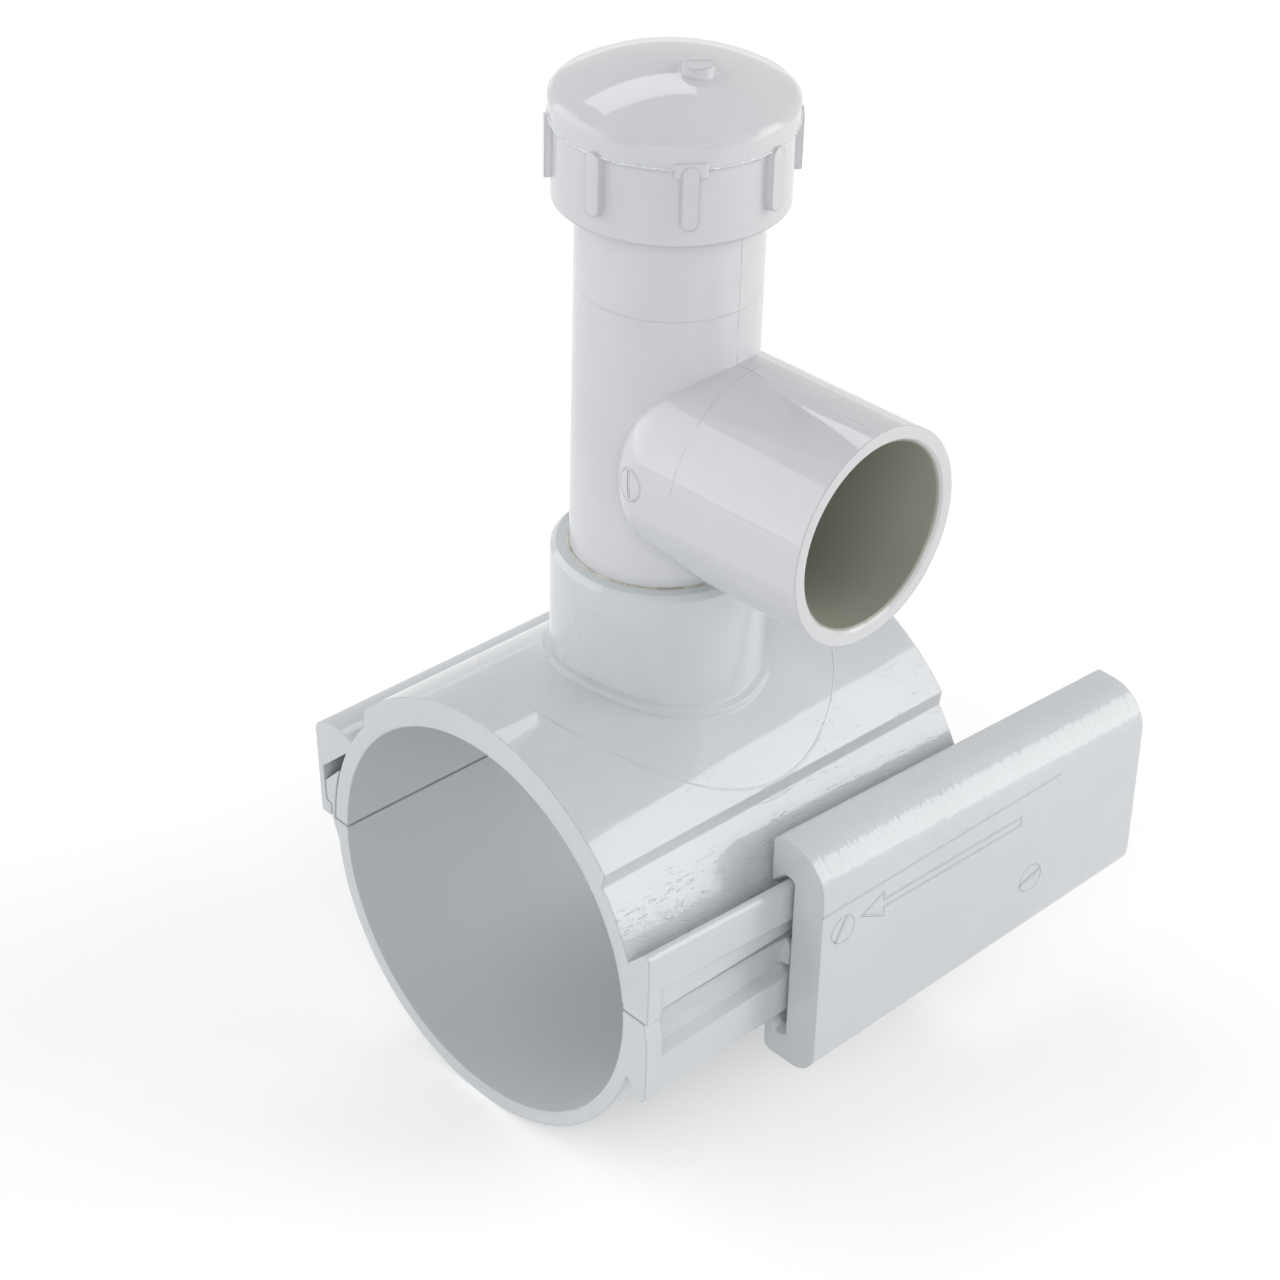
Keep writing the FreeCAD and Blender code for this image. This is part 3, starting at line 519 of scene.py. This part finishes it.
def helix_shape(graph, sizes):
    """A ridge that climbs round the upright axis, thinning out at both ends."""
    line = graph.node(
        "GeometryNodeCurveSpiral", {},
        {"Resolution": THREAD_RESOLUTION, "Rotations": sizes["Turns"],
         "Start Radius": sizes["Radius"], "End Radius": sizes["Radius"],
         "Height": sizes["Turns"] * sizes["Pitch"], "Reverse": True})
    share = graph.node("GeometryNodeSplineParameter", {}, {}, "Factor")
    fade = (share * THREAD_FADE).least((1.0 - share) * THREAD_FADE).held(0.05, 1.0)
    line = graph.node("GeometryNodeSetCurveNormal", {"mode": "Z_UP"}, {"Curve": line})
    side = graph.node(
        "GeometryNodeCurvePrimitiveQuadrilateral", {"mode": "TRAPEZOID"},
        {"Height": sizes["Depth"] * 2.0, "Bottom Width": sizes["Foot"] * 2.0,
         "Top Width": sizes["Crest"], "Offset": 0.0})
    side = graph.node(
        "GeometryNodeTransform", {}, {"Geometry": side, "Rotation": (0.0, 0.0, math.pi / 2)})
    faded = graph.node("GeometryNodeSetCurveRadius", {}, {"Curve": line, "Radius": fade})
    thread = graph.node(
        "GeometryNodeCurveToMesh", {},
        {"Curve": faded, "Profile Curve": side, "Fill Caps": True})
    lift = graph.node("ShaderNodeCombineXYZ", {}, {"Z": sizes["Foot height"]})
    return graph.node("GeometryNodeTransform", {}, {"Geometry": thread, "Translation": lift})


def bead_shape(graph, sizes):
    """An uneven bead that runs once round the upright axis."""
    line = graph.node(
        "GeometryNodeCurvePrimitiveCircle", {"mode": "RADIUS"},
        {"Resolution": BEAD_RESOLUTION, "Radius": sizes["Radius"]})
    place = graph.node("GeometryNodeInputPosition", {}, {})
    coarse = graph.node(
        "ShaderNodeTexNoise", {"noise_dimensions": "4D"},
        {"Vector": place, "W": sizes["Seed"], "Scale": 620.0, "Detail": 3.0})
    fine = graph.node(
        "ShaderNodeTexNoise", {"noise_dimensions": "4D"},
        {"Vector": place, "W": sizes["Seed"] + 9.0, "Scale": 1700.0, "Detail": 2.0})
    shift = (coarse - 0.5) * sizes["Wander"]
    lift = graph.node("ShaderNodeCombineXYZ", {}, {"Z": sizes["Height"] + shift})
    line = graph.node("GeometryNodeSetPosition", {}, {"Geometry": line, "Offset": lift})
    swell = (fine - 0.28).held(0.08, 1.0) * 3.0
    line = graph.node("GeometryNodeSetCurveRadius", {}, {"Curve": line, "Radius": swell})
    side = graph.node(
        "GeometryNodeCurvePrimitiveCircle", {"mode": "RADIUS"},
        {"Resolution": BEAD_SIDES, "Radius": sizes["Thickness"]})
    return graph.node("GeometryNodeCurveToMesh", {}, {"Curve": line, "Profile Curve": side})


class SADDLE_OT_half_shells(bpy.types.Operator):
    """Gives the two half shells their moulded grey, with the marks of the mould"""

    bl_idname = "saddle.half_shells"
    bl_label = "Half shells"

    def execute(self, context):
        plastic = context.scene.saddle_plastic
        marks = context.scene.saddle_marks
        finish = Finish("saddle_plastic")
        graph = finish.graph
        bore = length_of(finish.y, finish.z).below(BORE_MASK_RADIUS)
        mould(finish, plastic.saddle_colour, plastic, 1.0 - bore * 0.8)
        crown = finish.z.above(CROWN_LEVEL)
        insert = abs(length_of(finish.x, finish.y) - marks.plate_radius / MM)
        line = ridge(insert, marks.line_width, marks.line_height * 1.5) * crown
        finish.raise_by(worn(finish, line))
        # The band beside the step was textured by a worn mould.
        shift = (graph.noise(finish.place, 160.0, 3.0, 0.6) - 0.5) * 3.0
        place = finish.y + shift
        band = place.eased(*BAND_OUTER_EDGE) * (1.0 - place.eased(*BAND_INNER_EDGE)) * crown
        rough = graph.noise(finish.place, 900.0, 3.0, 0.6) - 0.5
        finish.raise_by(rough * band * 0.055)
        flecks = graph.noise(graph.stretched(finish.place, (420.0, 2100.0, 2100.0)), 1.0, 2.0)
        finish.raise_by(flecks.eased(0.60, 0.68) * band * -0.06)
        # Short scratches lie in patches on the crown.
        patches = graph.noise(finish.place, 95.0, 1.0).eased(0.53, 0.62) * crown
        scratches = graph.noise(
            graph.stretched(finish.place, (620.0, 2900.0, 1700.0)), 1.0, 2.0, 0.6)
        finish.raise_by(scratches.eased(0.64, 0.70) * patches * (1.0 - bore) * -0.035)
        dull = finish.roughness + bore * 0.4
        tint = graph.blend(bore, finish.tint, opaque(plastic.saddle_colour, 0.97))
        material = finish.close(tint, dull, plastic.edge_radius)
        cover("upper_saddle", material)
        cover("lower_saddle", material)
        return {"FINISHED"}


class SADDLE_OT_wedge(bpy.types.Operator):
    """Gives the wedge its grey, with the arrow and the ejector marks of its outer face"""

    bl_idname = "saddle.wedge"
    bl_label = "Wedge"

    def execute(self, context):
        plastic = context.scene.saddle_plastic
        marks = context.scene.saddle_marks
        finish = Finish("wedge_plastic")
        graph = finish.graph
        mould(finish, plastic.saddle_colour, plastic, 0.8)
        outside = finish.y.below(WEDGE_FACE)
        width = marks.line_width
        high = marks.line_height
        arrow = outline_of(finish.x, finish.z, ARROW)
        finish.raise_by(ridge(arrow, width * 1.6, high * 3.6) * outside)
        start, bend, corner, foot = BORDER
        border = reach(finish.x, finish.z, start, bend)
        border = border.least(reach(finish.x, finish.z, bend, corner))
        finish.raise_by(ridge(border, width * 1.5, high * 3.0) * outside)
        fainter = reach(finish.x, finish.z, corner, foot)
        finish.raise_by(ridge(fainter, width, high * 0.5) * outside)
        for centre, slot in EJECTORS.items():
            rim = circle_of(finish.x, finish.z, centre, EJECTOR_RADIUS)
            finish.raise_by(ridge(rim, width * 1.4, -high * 2.4) * outside)
            cut = reach(finish.x, finish.z, *slot)
            finish.raise_by(ridge(cut, width * 2.2, high * 6.5) * outside)
        # The rounding at the top shows the ripple of its polishing.
        shift = (graph.noise(finish.place, 180.0, 3.0, 0.6) - 0.5) * 2.0
        top = finish.y.below(ROUNDING_SIDE) * (finish.z + shift).eased(*ROUNDING_START)
        comb = graph.noise(graph.stretched(finish.place, (1500.0, 420.0, 420.0)), 1.0, 2.0)
        finish.raise_by((comb - 0.5) * top * 0.10)
        cover("wedge_lock", finish.close(finish.tint, finish.roughness, plastic.edge_radius))
        return {"FINISHED"}


class SADDLE_OT_tower(bpy.types.Operator):
    """Gives the tower its warmer grey, its parting lines and the duller wall of its bores, which
    is darkened there as painted shade
    """

    bl_idname = "saddle.tower"
    bl_label = "Tower"

    def execute(self, context):
        plastic = context.scene.saddle_plastic
        marks = context.scene.saddle_marks
        finish = Finish("tower_plastic")
        mould(finish, plastic.tower_colour, plastic, 0.7)
        turn = marks.tower_turn
        side = finish.x * math.cos(turn) + finish.y * math.sin(turn)
        out = finish.y * math.cos(turn) - finish.x * math.sin(turn)
        width = marks.line_width
        high = marks.line_height
        inside_riser = length_of(side, out).below(RISER_MASK_RADIUS)
        from_outlet = length_of(side, finish.z - marks.outlet_height / MM)
        inside_outlet = from_outlet.below(marks.socket_radius / MM + OUTLET_MASK_MARGIN)
        inside = inside_riser.most(inside_outlet * out.below(OUTLET_MASK_START))
        parting = ridge(abs(side), width, high * 2.6)
        rings = ridge(abs(finish.z - marks.riser_line / MM), width, high * 1.5)
        rings = rings + ridge(abs(out + marks.hub_line / MM), width, high * 1.5)
        lines = worn(finish, parting + rings)
        finish.raise_by(lines * (1.0 - inside) * out.above(OUTLET_MARKS_END))
        # The ejector pin beside the outlet left a disc with a slot across it.
        left = side.below(PIN_SIDE)
        rim = circle_of(out, finish.z, PIN_CENTRE, PIN_RADIUS)
        finish.raise_by(ridge(rim, width * 1.3, high * 2.4) * left)
        cut = reach(out, finish.z, *PIN_SLOT)
        finish.raise_by(ridge(cut, width * 1.8, -high * 9.0) * left)
        # Inside the riser and the outlet the colour is painted shade, with a painted olive cast
        # of bounced light, and the wall is rougher.
        tint = finish.graph.blend(inside, finish.tint, opaque(plastic.bore_shade_colour))
        dull = finish.roughness + inside * 0.25
        cover("tower", finish.close(tint, dull, plastic.edge_radius))
        return {"FINISHED"}


class SADDLE_OT_cap(bpy.types.Operator):
    """Gives the cap its grey, its flash and the stub of the cut-off gate"""

    bl_idname = "saddle.cap"
    bl_label = "Cap"

    def execute(self, context):
        plastic = context.scene.saddle_plastic
        trim = context.scene.saddle_trim
        finish = Finish("cap_plastic")
        graph = finish.graph
        mould(finish, plastic.tower_colour, plastic, 0.8)
        # The rim band is uneven where the two halves of the mould met.
        band = 1.0 - abs(finish.z - RIM_LEVEL).eased(*RIM_FADE)
        finish.raise_by((graph.noise(finish.place, 700.0, 3.0, 0.65) - 0.5) * band * 0.12)
        slot = ridge(reach(finish.x, finish.y, *BOSS_SLOT), BOSS_SLOT_WIDTH, -BOSS_SLOT_DEPTH)
        finish.raise_by(slot * finish.z.above(BOSS_LEVEL))
        material = finish.close(finish.tint, finish.roughness, plastic.edge_radius * 1.8)
        cover("cap", material)
        torn = Finish("flash_with_painted_glints")
        crumbs = torn.graph.noise(torn.place, 2400.0, 2.0, 0.6)
        torn.raise_by((crumbs - 0.5) * 0.12)
        # Paler crumbs on the flash are painted highlight: the white glints on it and the light
        # that scatters through the thin flash.
        pale = torn.graph.blend(
            crumbs.eased(0.4, 0.65), opaque(plastic.tower_colour, 1.02),
            opaque(plastic.tower_colour, 1.35))
        edge = torn.close(pale, 0.35 + (crumbs - 0.5) * 0.3, 0.05 * MM)
        flash = grown(
            "rim_flash", bead_shape,
            {"Radius": trim.flash_radius, "Height": trim.flash_height,
             "Thickness": trim.flash_thickness, "Wander": 0.0011, "Seed": float(trim.seed)},
            edge)
        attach(flash, "screw_cap")
        gate = self.gate_stub(trim, material)
        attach(gate, "screw_cap")
        return {"FINISHED"}

    def gate_stub(self, trim, material):
        """A short tab that follows the rim, with rounded edges."""
        inner = trim.flash_radius - GATE_ROOT
        outer = trim.flash_radius + GATE_STAND
        low = trim.flash_height - GATE_DROP
        top = trim.flash_height + GATE_RISE
        half = 0.5 * trim.gate_width / trim.flash_radius
        shell = bmesh.new()
        rings = []
        for step in range(GATE_STEPS + 1):
            angle = trim.gate_angle - half + 2.0 * half * step / GATE_STEPS
            along = Vector((math.cos(angle), math.sin(angle), 0.0))
            corners = [(inner, low), (outer - GATE_DRAFT, low), (outer, top), (inner, top)]
            rings.append([
                shell.verts.new(along * radius + Vector((0.0, 0.0, height)))
                for radius, height in corners])
        for before, after in zip(rings, rings[1:]):
            for corner in range(4):
                following = (corner + 1) % 4
                shell.faces.new(
                    (before[corner], before[following], after[following], after[corner]))
        shell.faces.new(rings[0])
        shell.faces.new(rings[-1])
        bmesh.ops.recalc_face_normals(shell, faces=shell.faces)
        mesh = bpy.data.meshes.new("gate_stub")
        shell.to_mesh(mesh)
        shell.free()
        mesh.materials.append(material)
        mesh.shade_smooth()
        stub = bpy.data.objects.new("gate_stub", mesh)
        bpy.context.scene.collection.objects.link(stub)
        rounding = stub.modifiers.new("Rounding", "BEVEL")
        rounding.width = GATE_ROUNDING
        rounding.segments = 3
        return stub


class SADDLE_OT_threads(bpy.types.Operator):
    """Adds the thread of the neck and its mate in the cap"""

    bl_idname = "saddle.threads"
    bl_label = "Threads"

    def execute(self, context):
        thread = context.scene.saddle_thread
        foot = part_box("cap")[0].z + THREAD_START
        if foot + thread.neck_turns * thread.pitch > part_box("tower")[1].z:
            raise RuntimeError("the thread is longer than the neck")
        neck = self.ridge_on(
            "tower", "neck_thread", thread, thread.neck_radius, thread.neck_turns, foot)
        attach(neck, "root")
        foot = foot + 0.5 * thread.pitch
        cap = self.ridge_on(
            "cap", "cap_thread", thread, thread.bore_radius, thread.cap_turns, foot)
        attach(cap, "screw_cap")
        return {"FINISHED"}

    def ridge_on(self, node_name, name, thread, radius, turns, foot):
        """One thread, in the plastic of the node that it stands on."""
        return grown(
            name, helix_shape,
            {"Radius": radius, "Pitch": thread.pitch, "Turns": turns,
             "Depth": thread.depth, "Foot": thread.foot_width, "Crest": thread.crest_width,
             "Foot height": foot},
            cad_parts[node_name].data.materials[0])


class SADDLE_OT_seals(bpy.types.Operator):
    """Gives the two seals their dark rubber"""

    bl_idname = "saddle.seals"
    bl_label = "Seals"

    def execute(self, context):
        plastic = context.scene.saddle_plastic
        finish = Finish("seal_rubber")
        graph = finish.graph
        bloom = graph.noise(finish.place, 320.0, 4.0, 0.6)
        tint = graph.blend(
            bloom.eased(0.45, 0.8), opaque(plastic.rubber_colour),
            opaque(plastic.rubber_colour, 2.4))
        finish.raise_by((graph.noise(finish.place, 3000.0, 3.0) - 0.5) * 0.02)
        roughness = 0.62 + (bloom - 0.5) * 0.3
        material = finish.close(tint, roughness, 0.15 * MM, index=1.5)
        cover("cap_seal", material)
        cover("saddle_seal", material)
        return {"FINISHED"}


class SADDLE_OT_cement(bpy.types.Operator):
    """Lays the dried bead of cement round the foot of the riser"""

    bl_idname = "saddle.cement"
    bl_label = "Cement bead"

    def execute(self, context):
        plastic = context.scene.saddle_plastic
        trim = context.scene.saddle_trim
        finish = Finish("dried_cement")
        graph = finish.graph
        blot = graph.noise(finish.place, 420.0, 3.0)
        tint = graph.blend(
            blot.eased(0.35, 0.7), opaque(plastic.cement_colour),
            opaque(plastic.cement_colour, 1.9))
        finish.raise_by((graph.noise(finish.place, 2600.0, 2.0) - 0.5) * 0.03)
        material = finish.close(tint, 0.3 + (blot - 0.5) * 0.3, 0.1 * MM)
        collar_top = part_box("upper_saddle")[1].z
        bead = grown(
            "cement_bead", bead_shape,
            {"Radius": trim.bead_radius, "Height": collar_top,
             "Thickness": trim.bead_thickness, "Wander": 0.0003, "Seed": trim.seed + 4.0},
            material)
        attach(bead, "root")
        return {"FINISHED"}


class SADDLE_OT_stage(bpy.types.Operator):
    """Sets up the floor, the soft lamps and the camera"""

    bl_idname = "saddle.stage"
    bl_label = "Stage"

    def execute(self, context):
        stage = context.scene.saddle_stage
        self.floor(stage)
        self.surround(stage)
        for name, light in LAMPS.items():
            self.lamp(name, *light)
        self.camera(context, stage)
        context.scene.view_settings.view_transform = "Standard"
        return {"FINISHED"}

    def floor(self, stage):
        half = 0.5 * stage.floor_size
        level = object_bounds()[0].z
        corners = [(-half, -half, level), (half, -half, level),
                   (half, half, level), (-half, half, level)]
        mesh = bpy.data.meshes.new("floor")
        mesh.from_pydata(corners, [], [(0, 1, 2, 3)])
        floor = bpy.data.objects.new("floor", mesh)
        bpy.context.scene.collection.objects.link(floor)
        floor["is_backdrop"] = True
        material = bpy.data.materials.new("pale_floor")
        material.use_nodes = True
        material.node_tree.nodes.clear()
        graph = Graph(material.node_tree)
        place = graph.node("ShaderNodeTexCoord", {}, {}, "Object")
        away = graph.node("ShaderNodeVectorMath", {"operation": "LENGTH"}, {0: place}, "Value")
        # The lamps fade with distance, and the glow makes up for it out to the horizon.
        pale = graph.blend(away.eased(*GLOW_FADE), opaque(GLOW_GREY), opaque(WHITE))
        matt = graph.node("ShaderNodeBsdfDiffuse", {}, {"Color": opaque(FLOOR_GREY)})
        glow = graph.node(
            "ShaderNodeEmission", {}, {"Color": pale, "Strength": self.seen(graph)})
        both = graph.node("ShaderNodeAddShader", {}, {0: matt, 1: glow})
        graph.node("ShaderNodeOutputMaterial", {}, {"Surface": both})
        mesh.materials.append(material)

    def seen(self, graph):
        """1 for the rays that show the background itself."""
        camera = graph.node("ShaderNodeLightPath", {}, {}, "Is Camera Ray")
        glossy = graph.node("ShaderNodeLightPath", {}, {}, "Is Glossy Ray")
        through = graph.node("ShaderNodeLightPath", {}, {}, "Is Transmission Ray")
        return camera.most(glossy).most(through)

    def surround(self, stage):
        world = bpy.data.worlds.new("studio")
        bpy.context.scene.world = world
        world.use_nodes = True
        world.node_tree.nodes.clear()
        graph = Graph(world.node_tree)
        strength = stage.surround + self.seen(graph) * (1.0 - stage.surround)
        sky = graph.node(
            "ShaderNodeBackground", {}, {"Color": opaque(WHITE), "Strength": strength})
        graph.node("ShaderNodeOutputWorld", {}, {"Surface": sky})

    def lamp(self, name, direction, distance, size, radiance, colour):
        """A soft box that faces the object, with its brightness given at its surface."""
        data = bpy.data.lights.new(name, "AREA")
        data.shape = "RECTANGLE"
        data.size, data.size_y = size
        data.color = colour
        data.energy = radiance * math.pi * size[0] * size[1]
        lamp = bpy.data.objects.new(name, data)
        bpy.context.scene.collection.objects.link(lamp)
        out = Vector(direction).normalized()
        turn = out.to_track_quat("Z", "Y").to_matrix().to_4x4()
        lamp.matrix_world = Matrix.Translation(Vector(LAMP_AIM) + out * distance) @ turn

    def camera(self, context, stage):
        data = bpy.data.cameras.new("camera")
        data.sensor_fit = "HORIZONTAL"
        data.sensor_width = SENSOR_WIDTH
        data.lens = stage.lens
        data.clip_start, data.clip_end = CAMERA_CLIP
        camera = bpy.data.objects.new("camera", data)
        context.scene.collection.objects.link(camera)
        camera.matrix_world = (
            Matrix.Translation(stage.camera_place)
            @ Matrix.Rotation(stage.azimuth, 4, "Z")
            @ Matrix.Rotation(math.pi / 2 + stage.elevation, 4, "X")
            @ Matrix.Rotation(stage.roll, 4, "Z"))
        context.scene.camera = camera


class SADDLE_PT_panel(bpy.types.Panel):
    """Lists the steps and the settings of the saddle"""

    bl_idname = "SADDLE_PT_panel"
    bl_label = "Tapping saddle"
    bl_space_type = "VIEW_3D"
    bl_region_type = "UI"
    bl_category = "Saddle"

    def draw(self, context):
        for step in STEPS:
            self.layout.operator(step.bl_idname)
        for group in SETTINGS:
            settings = getattr(context.scene, group)
            box = self.layout.box()
            box.label(text=settings.bl_rna.description)
            for name in settings.bl_rna.properties.keys():
                if name not in ("name", "rna_type"):
                    box.prop(settings, name)


SETTINGS = {
    "saddle_plastic": PlasticSettings,
    "saddle_marks": MarkSettings,
    "saddle_thread": ThreadSettings,
    "saddle_trim": TrimSettings,
    "saddle_stage": StageSettings,
}
STEPS = (
    SADDLE_OT_half_shells,
    SADDLE_OT_wedge,
    SADDLE_OT_tower,
    SADDLE_OT_cap,
    SADDLE_OT_threads,
    SADDLE_OT_seals,
    SADDLE_OT_cement,
    SADDLE_OT_stage,
)


def register():
    for group, settings in SETTINGS.items():
        bpy.utils.register_class(settings)
        setattr(bpy.types.Scene, group, PointerProperty(type=settings))
    for step in STEPS:
        bpy.utils.register_class(step)
    bpy.utils.register_class(SADDLE_PT_panel)


def unregister():
    bpy.utils.unregister_class(SADDLE_PT_panel)
    for step in reversed(STEPS):
        bpy.utils.unregister_class(step)
    for group, settings in SETTINGS.items():
        delattr(bpy.types.Scene, group)
        bpy.utils.unregister_class(settings)


def main():
    register()
    bpy.ops.saddle.half_shells()
    bpy.ops.saddle.wedge()
    bpy.ops.saddle.tower()
    bpy.ops.saddle.cap()
    bpy.ops.saddle.threads()
    bpy.ops.saddle.seals()
    bpy.ops.saddle.cement()
    bpy.ops.saddle.stage()


if __name__ == "__main__":
    main()
